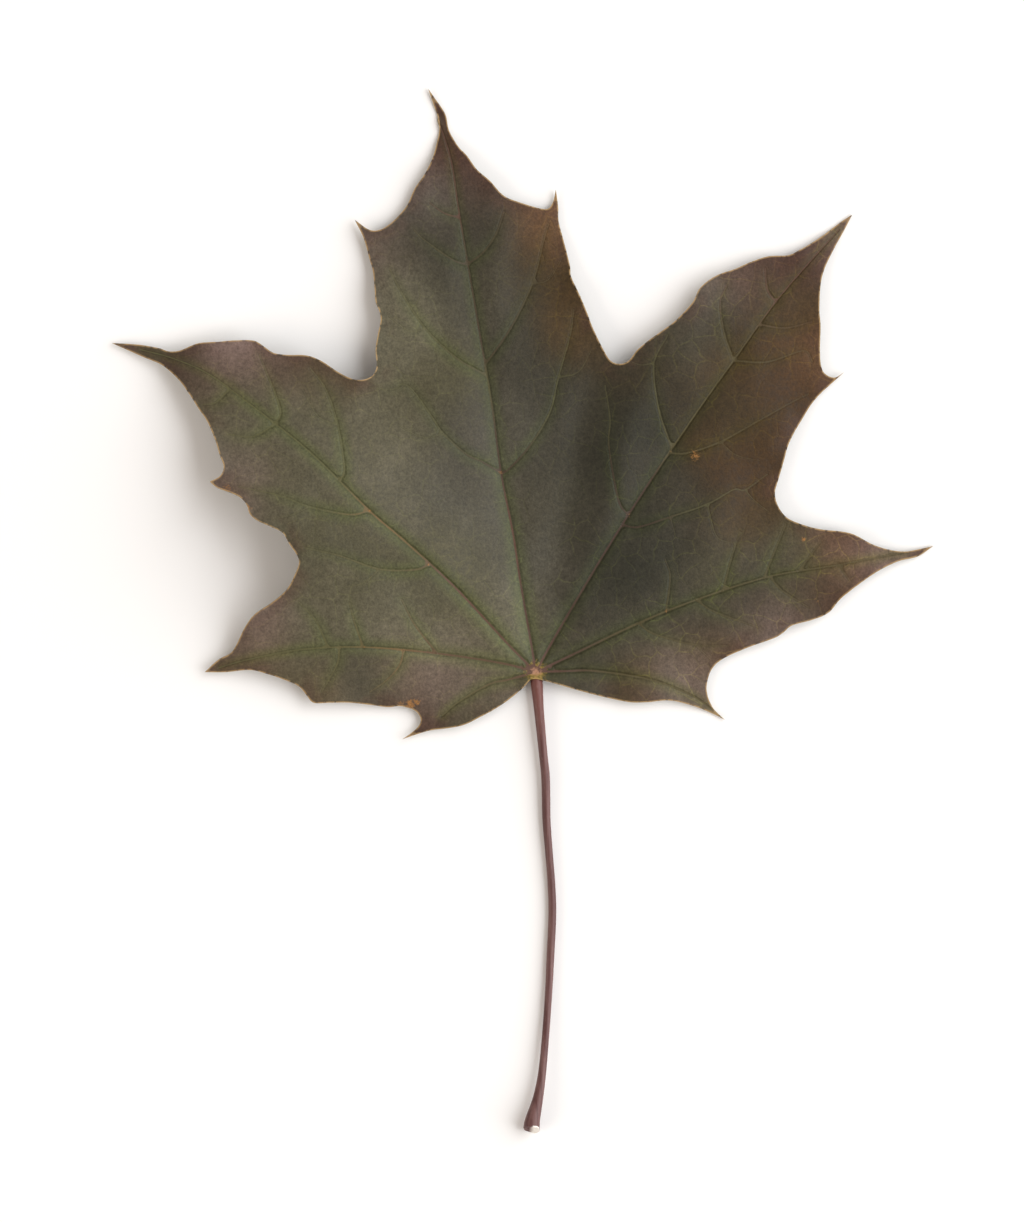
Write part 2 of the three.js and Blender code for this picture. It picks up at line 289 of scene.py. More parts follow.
def inside(points, ring):
    """Which of the points lie inside the closed ring, counted by crossings to the right."""
    result = np.zeros(len(points), bool)
    x, y = points.T
    for (ax, ay), (bx, by) in zip(ring, np.roll(ring, -1, axis=0)):
        if ay != by:
            crosses = (ay > y) != (by > y)
            result ^= crosses & (x < (bx - ax) * (y - ay) / (by - ay) + ax)
    return result


def keep(points, from_margin):
    """The points inside the outline that stand clear of the margin and of the veins."""
    points = points[inside(points, outline)]
    points = points[nearest(margin_tree, points)[0] > from_margin]
    return points[nearest(search_tree(vein_net), points)[0] > KEEP_OFF_VEIN]


rows = keep(rows, KEEP_OFF_MARGIN)
honeycomb = keep(honeycomb, max(MARGIN_ROWS) + NET_STEP / 2)
vein_net = vein_net[inside(vein_net, outline)]
vein_net = vein_net[nearest(margin_tree, vein_net)[0] > KEEP_OFF_MARGIN]

plan = np.vstack([outline, vein_net, rows, honeycomb])
ring = [(i, (i + 1) % len(outline)) for i in range(len(outline))]
net, _, triangles, *_ = delaunay_2d_cdt([Vector(p) for p in plan], ring, [], ONLY_INSIDE, MERGE_GAP)
net = np.array(net)

# ---------------------------------------------------------------------------------------------
# The lie of the blade. It curled a little after it was picked: its left side is lifted off the table,
# and only the lobes' tips and the foot of the stalk touch it.

# Each row is a plan place and the height there, over the table, of the middle of the blade's skin.
HELD = [
    (0, 0, 2.4), (-3, 17, 3.6), (-6, 36, 4.6), (-10, 60, 3.6), (-14, 84, 2.2), (-19.4, 105, 0.3),
    (3.6, 86.8, 0.8), (7, 70, 1.4), (-32.6, 81.4, 0.6), (-29, 66, 3.4), (-29, 55, 4.8), (-36, 55, 5.2),
    (-48, 50, 7.6), (-54, 57, 3.4), (-64, 53, 1.8), (-76.3, 59.2, 0.3), (-57, 40, 8.0),
    (-58.5, 34.2, 8.2), (-50, 28, 11.0), (-43, 21, 14.2), (-48, 12, 9.4), (-22, 24, 7.0),
    (-20, 42, 5.6), (-34, 36, 8.6), (-34, 18, 10.2), (-38, 5, 6.6), (-59.6, 0.2, 0.4), (-54, 5, 1.8),
    (-40, -5.5, 0.8), (-50, 0, 0.6), (-24, -12, 0.5), (-12, -6, 1.8), (-26, -5, 2.0), (14.4, 55.4, 3.4),
    (5, 26, 2.8), (2, 44, 3.0), (12, 34, 4.6), (20, 59, 4.0), (28, 66, 3.4), (22, 36, 4.4),
    (34, 54, 3.6), (40, 74, 1.6), (56.9, 82.3, 0.3), (51.2, 62, 1.4), (55.5, 54, 0.6), (43.2, 32, 1.6),
    (28, 24, 3.4), (36, 14, 2.8), (54, 20, 2.2), (71.5, 22.7, 0.3), (46, 8, 1.6), (18, -5, 1.6),
    (34, -8.6, 0.3),
]
HOLD_REACH = 11
FAINT = 1e-9


def blade_height(x, y):
    """The height of the middle of the blade: the held heights, each weighted by its nearness."""
    weights = [np.exp(-((x - hx) ** 2 + (y - hy) ** 2) / HOLD_REACH**2) + FAINT for hx, hy, _ in HELD]
    return sum(weight * held for weight, (*_, held) in zip(weights, HELD)) / sum(weights)


# Soft folds on top of that. Each row is the fold's line, its height, less than 0 for a valley, and
# how far it reaches to either side.
FOLDS = [
    ([(2, 16), (6, 29), (8, 42), (10.5, 52)], -0.6, 3.4),
    ([(8, 14), (13.5, 29), (15.5, 42), (19, 50)], 0.6, 3.4),
    ([(-3, 3), (-23, 23), (-47, 45), (-60, 54)], 0.7, 4.5),
    ([(-6, 1.6), (-30, 4.5), (-50, 2.6)], 0.6, 4.0),
    ([(2.5, 4.7), (20.7, 34.6), (35.5, 56)], -0.5, 3.5),
    ([(-1.1, 6.5), (-6.3, 36), (-12.2, 73)], -0.45, 3.0),
    ([(30, 24), (34, 34), (44, 42)], 0.4, 4.0),
    ([(-8, 66), (-6, 80)], 0.4, 3.4),
]
height = blade_height(net[:, 0], net[:, 1])
for line, rise, reach in FOLDS:
    gap = nearest(search_tree(smooth_line(line, SEARCH_STEP)), net)[0]
    height += rise * np.exp(-((gap / reach) ** 2))

# Every vein presses a valley into the blade and raises a ridge under it. Both fade along the vein.
# Each point of the net also keeps how far its nearest vein is, how wide, and how strongly it shows.
VEIN_FADE = 0.55
RIDGE_SPREAD = 4.5
FAR = 1e3
ridge = np.zeros(len(net))
vein_gap = np.full(len(net), FAR)
vein_width = np.ones(len(net))
vein_strength = np.zeros(len(net))
for kind, lines in VEIN_KINDS:
    fine = [smooth_line(line, SEARCH_STEP) for line in lines]
    share = np.concatenate([np.linspace(0, 1, len(line)) for line in fine])
    gap, index = nearest(search_tree(np.vstack(fine)), net)
    width = np.interp(share[index], (0, 1), kind["width"])
    strength = np.interp(share[index], (0, 1), kind["strength"])
    fade = 1 - VEIN_FADE * share[index]
    height -= kind["depth"] * fade * np.exp(-gap / kind["reach"])
    ridge = np.maximum(ridge, kind["ridge"] * fade * np.exp(-((gap / (RIDGE_SPREAD * width)) ** 2)))
    nearer = gap / width < vein_gap / vein_width
    vein_gap = np.where(nearer, gap, vein_gap)
    vein_width = np.where(nearer, width, vein_width)
    vein_strength = np.where(nearer, strength, vein_strength)

# The skin is nowhere quite flat, and it is wavier near the margin. Each row is the size of the waves,
# their layer of noise, their height all over, and what is added to that height at the margin.
WAVES = [(9, 0.5, 0.1, 0.5), (3.5, 4.5, 0.07, 0.15)]
MARGIN_REACH = 5
margin_gap = nearest(margin_tree, net)[0]
for size, layer, all_over, at_margin in WAVES:
    wave = np.array([noise.noise(Vector((x / size, y / size, layer))) for x, y in net])
    height += (all_over + at_margin * np.exp(-margin_gap / MARGIN_REACH)) * wave

# The skin lies on the table at its lowest places and never goes through it.
THICKNESS = 0.3
CLEARANCE = 0.03
height = np.maximum(height, THICKNESS / 2 + ridge + CLEARANCE)

blade_mesh = bpy.data.meshes.new("blade")
place = np.column_stack([(net + JOINT) * MM, (height + THICKNESS / 2) * MM])
blade_mesh.from_pydata(place.tolist(), [], [list(t) for t in triangles])
blade = bpy.data.objects.new("blade", blade_mesh)
bpy.context.scene.collection.objects.link(blade)

# ---------------------------------------------------------------------------------------------
# The colours of the blade. Its skin is olive green round the stalk, where it is still fresh, and has
# turned brown, red and purple towards the tips. Its shine near the tips and the lifted margins is
# painted highlight, and the dark fold right of the middle rib is painted shade.

# Each place below has one of these colours, and the skin between two places blends them. The pale
# pearl, blush and mauve ones are mostly painted highlights, set where the skin shines, and the darkest
# one is painted shade along the fold right of the middle rib.
SAGE = (0.099, 0.089, 0.056)
# painted highlight: pale grey where the skin shines
LICHEN = (0.072, 0.066, 0.047)
SHEEN_PEARL = (0.140, 0.118, 0.100)
OLIVE = (0.080, 0.071, 0.042)
MOSS = (0.065, 0.058, 0.030)
BARK = (0.094, 0.073, 0.040)
# painted highlight: pinkish grey where the skin shines near the tips and margins
SHEEN_BLUSH = (0.180, 0.126, 0.106)
# mostly painted highlight where the skin shines, and the skin's own mauve in a few places
SHEEN_MAUVE = (0.122, 0.092, 0.070)
COPPER = (0.112, 0.056, 0.024)
PLUM = (0.080, 0.049, 0.034)
WINE = (0.049, 0.022, 0.013)
RUST = (0.041, 0.019, 0.005)
TAWNY = (0.055, 0.034, 0.013)
OCHRE = (0.046, 0.026, 0.007)
UMBER = (0.030, 0.022, 0.010)
LODEN = (0.054, 0.048, 0.031)
SLATE = (0.043, 0.037, 0.024)
SHALE = (0.033, 0.029, 0.018)
# painted shade: the dark fold right of the middle rib, where the skin turns from the light
FOLD_SHADE = (0.020, 0.019, 0.011)
TINTS = [
    # round the joint and up the middle
    (-3, 10, SAGE), (-14, 22, MOSS), (-9, 26, LICHEN), (-19, 34, LICHEN), (-14, 38, SLATE),
    (-15, 43, LODEN), (-16, 13, MOSS), (-2, 30, LODEN), (5, 31, LODEN), (-4, 44, LICHEN),
    (2, 38, SHALE), (15, 29, SLATE), (20, 34, SHALE), (6, 16, SLATE), (0, 17, LICHEN), (10, 14, FOLD_SHADE),
    (8, 9, SHALE), (10, 29, FOLD_SHADE), (12, 36, FOLD_SHADE), (0, 50, SHALE), (-8, 44, SLATE), (-10, 39, LICHEN),
    (-22, 39, SAGE), (10, 48, SHALE), (5, 50, SHALE),
    # middle lobe
    (-16, 54, MOSS), (-22, 46, MOSS), (-24, 60, SAGE), (-24, 70, SAGE), (-28, 76, SHEEN_MAUVE),
    (-18, 74, SHALE), (-24, 79, SHALE), (-20, 79, SLATE), (-20, 86, SHEEN_PEARL), (-15, 84, SLATE),
    (-12, 88, WINE), (-15, 94, WINE), (-18, 100, WINE), (-8, 80, SHALE), (-9, 71, LODEN),
    (-9, 64, LODEN), (-4, 60, SHALE), (-3, 69, UMBER), (2, 81, COPPER), (2, 74, OCHRE), (6, 64, OCHRE),
    (9, 60, TAWNY), (15, 54, UMBER),
    # upper right lobe
    (18, 46, FOLD_SHADE), (22, 58, UMBER), (26, 60, LODEN), (30, 65, SLATE), (30, 70, SHEEN_MAUVE), (26, 50, UMBER),
    (38, 70, PLUM), (44, 74, WINE), (50, 76, WINE), (54, 80, SHEEN_BLUSH), (46, 66, TAWNY), (45, 59, RUST),
    (36, 64, UMBER), (40, 59, OCHRE), (35, 54, TAWNY), (40, 54, RUST), (50, 57, COPPER), (46, 50, RUST),
    (46, 44, RUST), (40, 43, OCHRE), (34, 48, UMBER), (34, 42, OCHRE), (42, 38, RUST), (36, 36, RUST),
    (30, 30, UMBER), (25, 29, SLATE), (22, 22, FOLD_SHADE), (20, 28, FOLD_SHADE), (16, 18, FOLD_SHADE),
    # right lobe and the lobe beside the stalk
    (39, 27, TAWNY), (47, 20, MOSS), (40, 19, LODEN), (33, 15, MOSS), (54, 20, PLUM), (56, 22, COPPER),
    (61, 22, SHEEN_BLUSH), (66, 21, PLUM), (50, 13, RUST), (45, 14, UMBER), (38, 13, UMBER), (46, 9.5, SHEEN_MAUVE),
    (41, 7.5, SHEEN_BLUSH), (36, 10, SHALE), (35, 4, TAWNY), (27, 16, SLATE), (30, 8, SLATE), (16, 7, LODEN),
    (6, 4, LODEN), (10, -1, LODEN), (18, -2, TAWNY), (25, -2, SHEEN_MAUVE), (30, -1, SHEEN_PEARL), (32, 1, COPPER),
    (8, 2, UMBER),
    # lobes on the left
    (-36, 24, MOSS), (-40, 16, OLIVE), (-28, 10, SAGE), (-30, 18, MOSS), (-12, 6, SAGE), (-24, 0, BARK),
    (-19, -1, SHEEN_BLUSH), (-14, -1, SHEEN_MAUVE), (-30, -1, LODEN), (-20, 5, SAGE), (-40, 3, OLIVE),
    (-41, 9, SAGE), (-50, 9, SHEEN_BLUSH), (-40, -3, BARK), (-50, 4, BARK), (-58, 1, PLUM), (-14, -6, MOSS),
    (-22, -9, WINE), (-26, 30, OLIVE), (-44, 34, OLIVE), (-54, 36, SHEEN_MAUVE), (-42, 44, OLIVE),
    (-53, 43, SAGE), (-50, 48, OLIVE), (-58, 48, OLIVE), (-60, 53, PLUM), (-66, 55, SLATE),
    (-72, 58, PLUM), (-54, 58, SHEEN_BLUSH), (-46, 55, PLUM), (-40, 50, OLIVE), (-38, 54, TAWNY),
    (-32, 40, OLIVE), (-28, 45, SAGE),
]
TINT_REACH = 5.5

# The lines of the veins have colours of their own: reddish near the stalk, green further out.
BRICK = (0.110, 0.052, 0.038)
MAROON = (0.060, 0.032, 0.024)
AMBER = (0.180, 0.100, 0.042)
FERN = (0.110, 0.105, 0.045)
BRONZE = (0.085, 0.068, 0.030)
VEIN_TINTS = [
    (0, 3, BRICK), (4, 7, MAROON), (-4, 25, BRICK), (-7, 40, MAROON), (-11, 66, MAROON),
    (-15, 92, BRICK), (-15, 15, BRICK), (-27, 26, AMBER), (-42, 41, FERN), (-60, 53, FERN),
    (-14, 3, BRICK), (-28, 4, AMBER), (-45, 4, FERN), (-12, -5, FERN), (7, 13, MAROON),
    (17, 29, MAROON), (30, 48, BRONZE), (46, 70, BRICK), (15, 7, BRONZE), (32, 14, BRONZE),
    (58, 20, BRONZE), (18, -1, BRONZE), (-28, 18, FERN), (-40, 30, FERN), (-36, 46, FERN),
    (-18, 46, FERN), (-22, 66, FERN), (3, 50, FERN), (-1, 70, BRONZE), (34, 42, BRONZE), (33, 30, FERN),
    (-34, 0, FERN), (-36, 10, FERN), (44, 56, BRONZE), (22, 52, FERN), (34, 6, BRONZE),
    (42, 20, BRONZE),
]
VEIN_TINT_REACH = 7


def paint(name, values, kind="FLOAT"):
    """Keeps one number or colour for each point of the blade, for the material to read."""
    layer = blade_mesh.attributes.new(name, kind, "POINT")
    layer.data.foreach_set("value" if kind == "FLOAT" else "color", values.astype(np.float32).ravel())


def paint_places(name, places, reach):
    """Colours the blade with the given places' colours, each weighted by its nearness."""
    spots = np.array([(x, y) for x, y, _ in places])
    gaps = np.linalg.norm(net[:, None] - spots, axis=2)
    weights = np.exp(-((gaps / reach) ** 2)) + FAINT
    colours = weights @ np.array([colour for *_, colour in places]) / weights.sum(1)[:, None]
    paint(name, np.column_stack([colours, np.ones(len(net))]), "FLOAT_COLOR")


# The place colours go on the blade as its tint, painted highlights and painted fold shade among them.
paint_places("tint", TINTS, TINT_REACH)
paint_places("vein_tint", VEIN_TINTS, VEIN_TINT_REACH)
paint("vein_gap", vein_gap)
paint("vein_width", vein_width)
paint("vein_strength", vein_strength)
paint("margin_gap", margin_gap)

# Small dried spots of light brown. Each row is a plan place, the spot's size and its strength.
SPOTS = [
    (28.6, 38.9, 1.2, 0.6), (48.2, 23.9, 0.4, 0.9), (50.6, 12.8, 0.4, 0.8), (-55.4, 33.1, 0.9, 0.6),
    (-51.5, 29.5, 0.7, 0.6), (-22.6, -5.7, 1.0, 0.8), (-21.4, -5.4, 0.7, 0.8), (-24.4, -5.5, 0.7, 0.6),
    (-6.3, 35.8, 0.5, 0.6), (-19.3, 19.3, 0.45, 0.55), (16.6, 28.3, 0.35, 0.5), (23.4, 11.0, 0.35, 0.6),
    (24.2, 39.8, 0.3, 0.5), (-29.9, 29.0, 0.4, 0.6), (-23.8, 4.0, 0.4, 0.6), (-30.8, 4.5, 0.4, 0.5),
]
spot = np.zeros(len(net))
for x, y, size, strength in SPOTS:
    away = np.hypot(net[:, 0] - x, net[:, 1] - y)
    spot = np.maximum(spot, strength * np.exp(-((away / size) ** 2)))
paint("spot", spot)

# The skin gets its body downwards from the upper face, thickest under the ribs.
SHARP_EDGE = math.radians(50)
bpy.context.view_layer.objects.active = blade
blade.select_set(True)
body = blade.vertex_groups.new(name="body")
thickest = THICKNESS + RIB["ridge"]
for point, extra in enumerate(ridge):
    body.add([point], (THICKNESS + extra) / thickest, "REPLACE")
solid = blade.modifiers.new("body", "SOLIDIFY")
solid.thickness = thickest * MM
solid.offset = -1
solid.vertex_group = "body"
solid.use_even_offset = False
bpy.ops.object.modifier_apply(modifier="body")
bpy.ops.object.shade_smooth_by_angle(angle=SHARP_EDGE)
paint("underside", np.repeat([0.0, 1.0], len(net)))

# The drawing of the skin, laid flat on one sheet: the upper face at the bottom, the underside above
# it, and the narrow strip of the edge just outside the upper face.
SHEET = 240
SHEET_BORDER = 2
SHEET_GAP = 3
STRIP = 0.35
drawing = blade_mesh.uv_layers.new(name="OFBake")
underside_up = high[1] - low[1] + SHEET_GAP
for face in blade_mesh.polygons:
    below = [vertex >= len(net) for vertex in face.vertices]
    for loop in face.loop_indices:
        vertex = blade_mesh.loops[loop].vertex_index
        x, y = net[vertex % len(net)] - low + SHEET_BORDER
        if all(below):
            y += underside_up
        elif any(below) and vertex >= len(net):
            x += STRIP * face.normal.x
            y += STRIP * face.normal.y
        drawing.data[loop].uv = (x / SHEET, y / SHEET)


class Wire:
    """One output of a shader node. Arithmetic on wires adds the Math nodes that work it out."""

    def __init__(self, tree, socket=None):
        self.tree = tree
        self.socket = socket

    def node(self, kind, settings, inputs, output=0):
        """Adds a node: its settings first, then the values or wires of its sockets."""
        node = self.tree.nodes.new(kind)
        for name, value in settings.items():
            setattr(node, name, value)
        for name, value in inputs.items():
            if isinstance(value, Wire):
                self.tree.links.new(value.socket, node.inputs[name])
            else:
                node.inputs[name].default_value = value
        return Wire(self.tree, node.outputs[output])

    def maths(self, operation, first, second):
        return self.node("ShaderNodeMath", {"operation": operation}, {0: first, 1: second})

    def __add__(self, other):
        return self.maths("ADD", self, other)

    def __radd__(self, other):
        return self.maths("ADD", other, self)

    def __sub__(self, other):
        return self.maths("SUBTRACT", self, other)

    def __rsub__(self, other):
        return self.maths("SUBTRACT", other, self)

    def __mul__(self, other):
        return self.maths("MULTIPLY", self, other)

    def __rmul__(self, other):
        return self.maths("MULTIPLY", other, self)

    def __truediv__(self, other):
        return self.maths("DIVIDE", self, other)

    def __rtruediv__(self, other):
        return self.maths("DIVIDE", other, self)

    def __pow__(self, other):
        return self.maths("POWER", self, other)

    def __rpow__(self, other):
        return self.maths("POWER", other, self)

    def ramp(self, low, high):
        """0 where this wire is at low, 1 where it is at high, and a smooth step between."""
        return self.node(
            "ShaderNodeMapRange", {"interpolation_type": "SMOOTHSTEP"},
            {"Value": self, "From Min": low, "From Max": high},
        )

    def mix(self, first, second):
        """The first colour where this wire is 0 and the second where it is 1."""
        first, second = (c if isinstance(c, Wire) else (*c, 1) for c in (first, second))
        return self.node("ShaderNodeMix", {"data_type": "RGBA"}, {0: self, 6: first, 7: second}, 2)

    def brighter(self, amount):
        """This colour times an amount."""
        return self.node("ShaderNodeVectorMath", {"operation": "SCALE"}, {0: self, "Scale": amount})

    def tinted(self, tint):
        """This colour seen through a tint."""
        return self.node("ShaderNodeVectorMath", {"operation": "MULTIPLY"}, {0: self, 1: tint})


def start_material(name):
    """A new material, its shader, and a wire to add its nodes with."""
    material = bpy.data.materials.new(name)
    material.use_nodes = True
    return material, material.node_tree.nodes["Principled BSDF"], Wire(material.node_tree)


def feed(shader, socket, wire):
    """Joins a wire to one of the shader's sockets."""
    wire.tree.links.new(wire.socket, shader.inputs[socket])


def bump(wire, relief, depth, strength):
    """A Normal that follows the relief, where 1 stands for the given depth in metres."""
    return wire.node("ShaderNodeBump", {}, {"Height": relief, "Distance": depth, "Strength": strength})


def leaf_material():
    """The skin: dull waxy green to purple above, with a net of fine veins, and pale matt beneath."""
    material, shader, wire = start_material("leaf skin")

    def read(name, output=2):
        """What was kept for each point of the blade: a number, or a colour from output 0."""
        return wire.node("ShaderNodeAttribute", {"attribute_name": name}, {}, output)

    place = wire.node("ShaderNodeTexCoord", {}, {}, 3)
    plan = wire.node("ShaderNodeMapping", {}, {0: place, "Scale": (1 / MM, 1 / MM, 0)})

    def noise_of(size, detail, roughness):
        return wire.node(
            "ShaderNodeTexNoise", {"noise_dimensions": "2D"},
            {"Vector": plan, "Scale": 1 / size, "Detail": detail, "Roughness": roughness},
        )

    def mesh_of(size, bend):
        """Distance in millimetres to the nearest line of a bent net with cells of the given size."""
        shift = wire.node(
            "ShaderNodeTexNoise", {"noise_dimensions": "2D"},
            {"Vector": plan, "Scale": 0.6 / size, "Detail": 2}, 1,
        )
        bent = wire.node(
            "ShaderNodeVectorMath", {"operation": "MULTIPLY_ADD"}, {0: shift, 1: (bend, bend, 0), 2: plan}
        )
        return size * wire.node(
            "ShaderNodeTexVoronoi", {"voronoi_dimensions": "2D", "feature": "DISTANCE_TO_EDGE"},
            {"Vector": bent, "Scale": 1 / size, "Randomness": 0.9},
        )

    # where a point lies: from the joint, from the margin, and in widths of the nearest vein
    joint = wire.node(
        "ShaderNodeVectorMath", {"operation": "DISTANCE"}, {0: plan, 1: (JOINT[0], JOINT[1], 0)}, 1
    )
    right_side = (wire.node("ShaderNodeSeparateXYZ", {}, {0: plan}) - float(JOINT[0])).ramp(-14, 18)
    margin = read("margin_gap")
    vein = read("vein_gap") / read("vein_width")
    strength = read("vein_strength")
    under = read("underside")

    # the unevenness of the skin, from broad to fine, and grey patches of painted sheen between the veins
    blotch = noise_of(7, 3, 0.5)
    sheen_patches = noise_of(9, 4, 0.6).ramp(0.48, 0.72) * vein.ramp(3, 14)
    fleck = noise_of(1.1, 3, 0.6).ramp(0.2, 0.8)
    grain = noise_of(0.45, 3, 0.7).ramp(0.2, 0.8)

    # the lines: the modelled veins, and the two nets of finer ones between them
    vein_line = vein.ramp(1.7, 0.4)
    net_gap = mesh_of(3.6, 2.6)
    net_line = net_gap.ramp(0.16, 0.02) * blotch.ramp(0.3, 0.65) * (0.35 + 0.65 * right_side)
    fine_gap = mesh_of(1.1, 0.5)
    fine_line = fine_gap.ramp(0.1, 0.02)

    # the open skin, from the place colours with their painted highlights and shade, redder along the
    # margin, and lightened in grey patches by painted sheen
    reddened = (0.062, 0.030, 0.020)
    sheen_tint = (1.3, 1.28, 1.36)
    margin_band = margin.ramp(4, 0) * blotch.ramp(0.35, 0.65)
    colour = (0.5 * margin_band).mix(read("tint", 0), reddened)
    colour = colour.brighter(0.56 + 0.42 * grain + 0.32 * fleck + 0.14 * blotch)
    colour = (0.5 * sheen_patches).mix(colour, colour.tinted(sheen_tint))

    # the veins, each green beside its line, with painted shade in the groove just beside it
    net_tint = (1.6, 1.75, 1.2)
    greener = (1.0, 1.22, 0.78)
    groove_shade = (0.6, 0.6, 0.55)
    flank = strength.ramp(0.1, 0.7) * vein.ramp(17, 1)
    colour = colour.brighter(1 + 0.14 * fine_line * fleck)
    colour = (0.7 * net_line).mix(colour, colour.tinted(net_tint))
    colour = (0.75 * flank).mix(colour, colour.tinted(greener))
    colour = (0.5 * strength * vein.ramp(4, 1.6)).mix(colour, colour.tinted(groove_shade))
    colour = (0.9 * strength * vein_line).mix(colour, read("vein_tint", 0))

    # the pale rim of the margin, partly its own colour and partly painted highlight where the edge catches
    # the light, and the dried spots
    rim_and_edge_light = (0.42, 0.28, 0.13)
    dried = (0.30, 0.14, 0.04)
    colour = (0.8 * margin.ramp(0.3, 0.1) * fleck.ramp(0.1, 0.5)).mix(colour, rim_and_edge_light)
    colour = (read("spot") + 0.5 * (grain - 0.5)).ramp(0.3, 0.8).mix(colour, dried)

    # the yellow star between the ribs at the joint, and its pink middle
    yellow = (0.34, 0.23, 0.045)
    pink = (0.38, 0.20, 0.12)
    star = (joint + 1.6 * grain).ramp(3.1, 1.3) * vein.ramp(0.3, 1.2)
    colour = (0.75 * star).mix(colour, yellow)
    colour = (0.85 * (joint + grain).ramp(1.7, 0.6)).mix(colour, pink)

    # the underside, pale with paler veins
    pale = (0.17, 0.16, 0.095)
    paler = (0.3, 0.26, 0.14)
    beneath = (0.75 * strength * vein_line + 0.3 * net_line).mix(pale, paler)
    beneath = beneath.brighter(0.75 + 0.3 * grain + 0.2 * blotch)

    groove = strength**1.4 * vein.ramp(3.6, 0.6)
    cells = 0.3 * fine_gap.ramp(0, 0.25) + 0.4 * net_gap.ramp(0, 0.5)
    relief = 0.5 * grain + cells + 0.8 * vein_line - 8 * groove
    feed(shader, "Base Color", under.mix(colour, beneath))
    feed(shader, "Roughness", 0.52 + 0.14 * fleck + 0.12 * under)
    feed(shader, "Normal", bump(wire, relief, 0.04 * MM, 0.7))
    shader.inputs["Specular IOR Level"].default_value = 0.25
    return material


blade.data.materials.append(leaf_material())
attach(blade, "root")
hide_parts("maple_leaf")

# ---------------------------------------------------------------------------------------------
# The stalk. It is a tough round stem, dark red with fine streaks, and it grew as one with the ribs.
# Its top runs in under the blade, and its lower end broadens into a foot that was torn off the twig.

# Each row is a plan place, the height of the stalk's middle there, and its radius.
STALK = [
    (-0.2, 1.6, 0.7, 0.5), (0.0, 0.4, 0.8, 0.7), (0.05, -0.6, 0.95, 0.85), (0.1, -1.3, 1.15, 1.05),
    (0.15, -2.2, 1.35, 1.1), (0.35, -4.6, 1.5, 0.97), (0.6, -7.4, 1.45, 0.88), (1.3, -14.6, 1.3, 0.78),
    (1.75, -19.3, 1.15, 0.79), (1.9, -26.5, 0.95, 0.74), (2.35, -32.4, 0.85, 0.69),
    (2.8, -38.3, 0.75, 0.7), (2.95, -43.7, 0.72, 0.71), (2.6, -51.5, 0.75, 0.7),
    (2.3, -57.4, 0.9, 0.66), (1.8, -64.6, 1.2, 0.66), (1.15, -71.8, 1.6, 0.72),
    (0.35, -76.7, 1.9, 0.95), (-0.5, -80.1, 2.1, 1.3), (-0.8, -81.6, 2.2, 1.46),
    (-0.81, -81.7, 2.2, 1.46),
]
STALK_STEP = 0.5
STALK_ROUNDNESS = 6

line = smooth_line(STALK, STALK_STEP)
curve = bpy.data.curves.new("stalk", "CURVE")
curve.dimensions = "3D"
curve.bevel_depth = MM
curve.bevel_resolution = STALK_ROUNDNESS
curve.use_fill_caps = True
spline = curve.splines.new("POLY")
spline.points.add(len(line) - 1)
for point, (x, y, z, radius) in zip(spline.points, line):
    point.co = ((x + JOINT[0]) * MM, (y + JOINT[1]) * MM, z * MM, 1)
    point.radius = radius
stalk = bpy.data.objects.new("stalk", curve)
bpy.context.scene.collection.objects.link(stalk)
bpy.ops.object.select_all(action="DESELECT")
stalk.select_set(True)
bpy.context.view_layer.objects.active = stalk
bpy.ops.object.convert(target="MESH")
stalk = bpy.context.object

# The torn end slants, so that its pale wood can be seen from above, and it is a little ragged.
FOOT_END = -81.45
WOOD_FROM = -81.65
FOOT_TOP = 3.6
FOOT_RADIUS = 1.4
SLANT = 0.55
RAGGED = 0.5
FIBRE_SIZE = 0.5
torn = np.zeros(len(stalk.data.vertices))
for i, vertex in enumerate(stalk.data.vertices):
    x, y, z = np.array(vertex.co) / MM - (*JOINT, 0)
    torn[i] = float(y < WOOD_FROM)
    if y < FOOT_END:
        fibres = noise.noise(Vector((x / FIBRE_SIZE, 0, z / FIBRE_SIZE)))
        vertex.co.y -= (SLANT * (FOOT_TOP - z) / FOOT_RADIUS + RAGGED * fibres) * MM
layer = stalk.data.attributes.new("torn", "FLOAT", "POINT")
layer.data.foreach_set("value", torn.astype(np.float32))
bpy.ops.object.shade_smooth_by_angle(angle=SHARP_EDGE)
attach(stalk, "root")
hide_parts("maple_leaf")


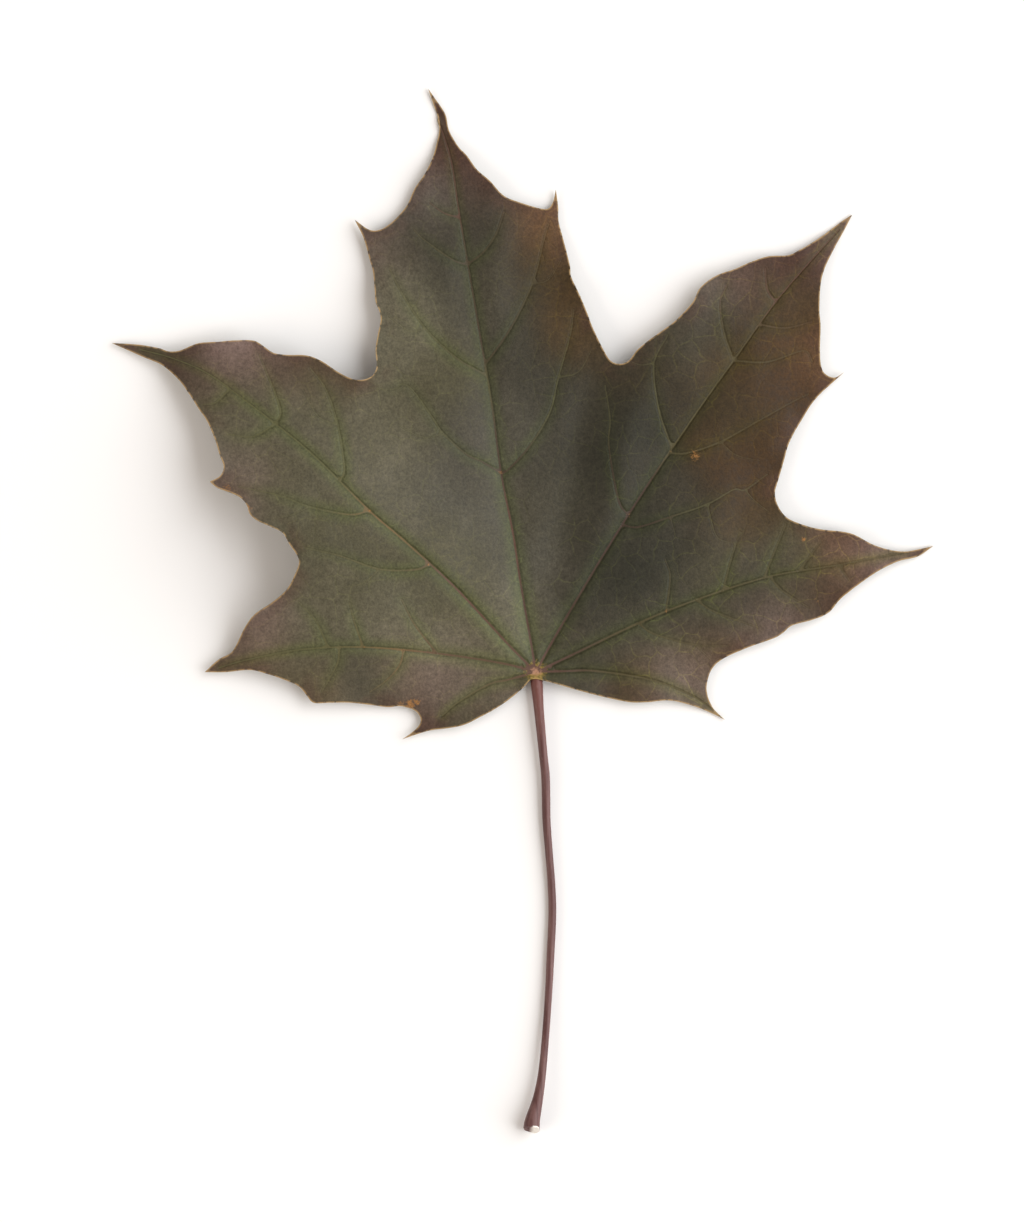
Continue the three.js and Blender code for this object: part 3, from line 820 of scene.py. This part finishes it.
def stalk_material():
    """Dark red bark with streaks along it, brighter near the joint, and pale wood at the torn end."""
    material, shader, wire = start_material("stalk skin")
    place = wire.node("ShaderNodeTexCoord", {}, {}, 3)
    down = float(JOINT[1]) - wire.node("ShaderNodeSeparateXYZ", {}, {0: place}, 1) / MM
    torn = wire.node("ShaderNodeAttribute", {"attribute_name": "torn"}, {}, 2)

    def streak_of(thickness, length):
        across = 1 / (thickness * MM)
        along = 1 / (length * MM)
        stretch = wire.node("ShaderNodeMapping", {}, {0: place, "Scale": (across, along, across)})
        return wire.node("ShaderNodeTexNoise", {}, {"Vector": stretch, "Scale": 1, "Detail": 3})

    dark = (0.085, 0.032, 0.030)
    light = (0.150, 0.074, 0.068)
    bright = (0.14, 0.045, 0.034)
    dusty = (0.19, 0.10, 0.085)
    white_wood = (0.8, 0.76, 0.7)
    red_wood = (0.4, 0.06, 0.05)
    streak = streak_of(0.7, 30)
    speck = streak_of(0.2, 1.2)
    colour = streak.ramp(0.35, 0.65).mix(dark, light)
    colour = (0.7 * down.ramp(16, 3)).mix(colour, bright)
    colour = (0.5 * speck.ramp(0.55, 0.7)).mix(colour, dusty)
    wood = (speck + 0.3 * streak).ramp(0.8, 0.88).mix(white_wood, red_wood)
    feed(shader, "Base Color", torn.ramp(0.3, 0.7).mix(colour, wood))
    feed(shader, "Roughness", 0.48 + 0.3 * torn)
    feed(shader, "Normal", bump(wire, streak, 0.1 * MM, 0.5))
    shader.inputs["Specular IOR Level"].default_value = 0.35
    return material


stalk.data.materials.append(stalk_material())

# ---------------------------------------------------------------------------------------------
# The table is a sheet of plain white paper, far larger than the leaf, so that no edge of it shows.
# Daylight falls on it from a big window on the right, and a pale wall on the left sends some back.
TABLE_SIZE = 4
ROOM_COLOUR = (1, 0.9, 0.82, 1)
ROOM_LIGHT = 0.43
PAPER = {"Base Color": (0.9, 0.9, 0.9, 1), "Roughness": 0.9, "Specular IOR Level": 0.2}
bpy.ops.mesh.primitive_plane_add(size=TABLE_SIZE, location=(0, 0, 0))
table = bpy.context.object
table.name = "table"
paper, paper_shader, _ = start_material("paper")
for socket, value in PAPER.items():
    paper_shader.inputs[socket].default_value = value
table.data.materials.append(paper)
table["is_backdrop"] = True

scene = bpy.context.scene
scene.view_settings.view_transform = "Standard"
room = bpy.data.worlds.new("room")
room.use_nodes = True
room.node_tree.nodes["Background"].inputs["Color"].default_value = ROOM_COLOUR
room.node_tree.nodes["Background"].inputs["Strength"].default_value = ROOM_LIGHT
scene.world = room


def soft_light(name, size, energy, colour, place):
    """A wide rectangle of soft light that faces the leaf."""
    light = bpy.data.lights.new(name, "AREA")
    light.shape = "RECTANGLE"
    light.size, light.size_y = size
    light.energy = energy
    light.color = colour
    lamp = bpy.data.objects.new(name, light)
    lamp.location = place
    lamp.rotation_euler = (-lamp.location).to_track_quat("-Z", "Y").to_euler()
    scene.collection.objects.link(lamp)


soft_light("window", (3.3, 2.6), 93, (0.97, 0.985, 1), (1.8, 0.28, 1.22))
soft_light("wall", (1.6, 1.2), 20, (1, 0.9, 0.8), (-1.9, -0.8, 1.1))

# The camera looks straight down from so far away that the lifted side hardly looks larger.
CAMERA_HEIGHT = 2.5
SEEN_HEIGHT = 0.219936
SEEN_MIDDLE = (-4.3, 11)
camera_data = bpy.data.cameras.new("camera")
camera_data.sensor_fit = "VERTICAL"
camera_data.sensor_height = 36
camera_data.lens = camera_data.sensor_height * CAMERA_HEIGHT / SEEN_HEIGHT
camera = bpy.data.objects.new("camera", camera_data)
camera.location = (*((JOINT + SEEN_MIDDLE) * MM), CAMERA_HEIGHT)
scene.collection.objects.link(camera)
scene.camera = camera

low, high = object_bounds()
